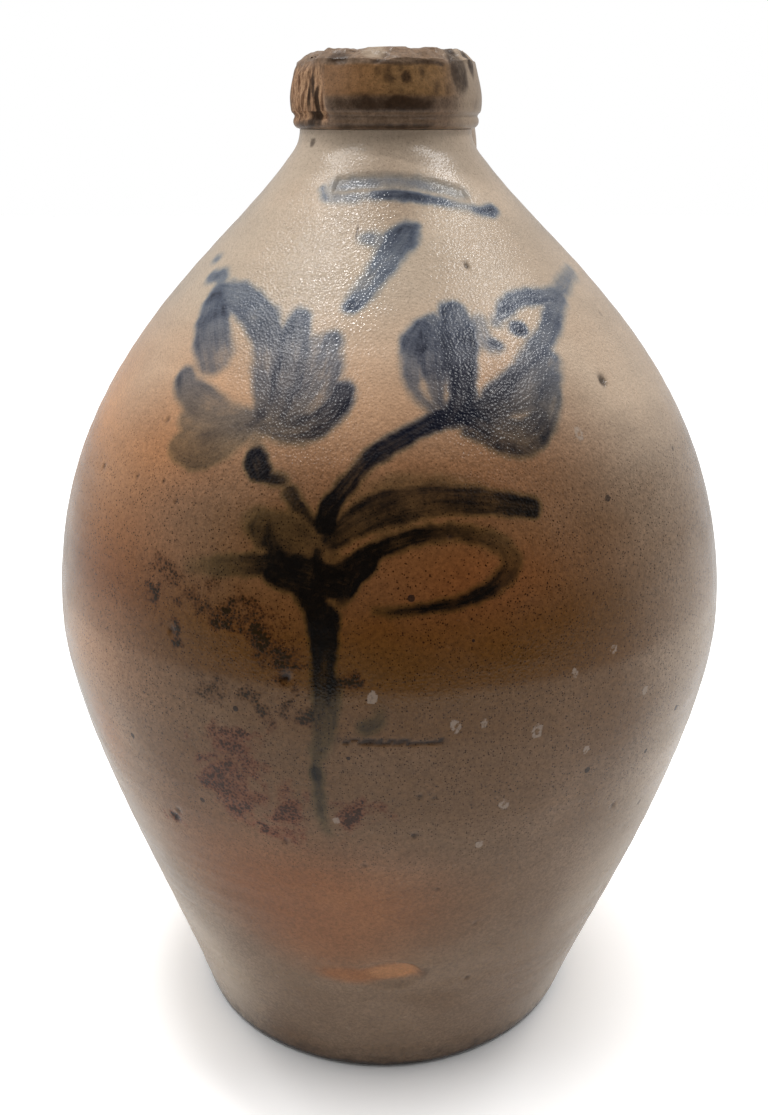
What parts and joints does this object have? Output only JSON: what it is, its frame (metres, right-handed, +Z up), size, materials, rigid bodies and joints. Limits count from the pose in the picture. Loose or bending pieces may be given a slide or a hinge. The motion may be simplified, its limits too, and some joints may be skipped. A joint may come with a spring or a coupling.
{
  "type": "stoneware jug",
  "caption": "Ovoid salt-glazed stoneware jug with a flat base, a narrow neck under a thick bevelled collar, and a strap handle from the collar to the shoulder.",
  "frame": {"origin": "centre of the base, on the surface that the jug stands on", "axes": "+Z up along the jug's axis, +Y toward the handle at the back, -Y toward the front"},
  "size_m": [0.192, 0.192, 0.28],
  "materials": {
    "lower_glaze": "grey-brown salt glaze with an orange flush low down",
    "upper_glaze": "tan salt glaze with cobalt blue brushwork",
    "collar_glaze": "ochre-brown salt glaze, chipped at the rim",
    "handle_glaze": "grey-tan salt glaze"
  },
  "bodies": {
    "root": {"lower_body": "lower_glaze", "upper_body": "upper_glaze", "neck_collar": "collar_glaze", "strap_handle": "handle_glaze"}
  },
  "joints": []
}
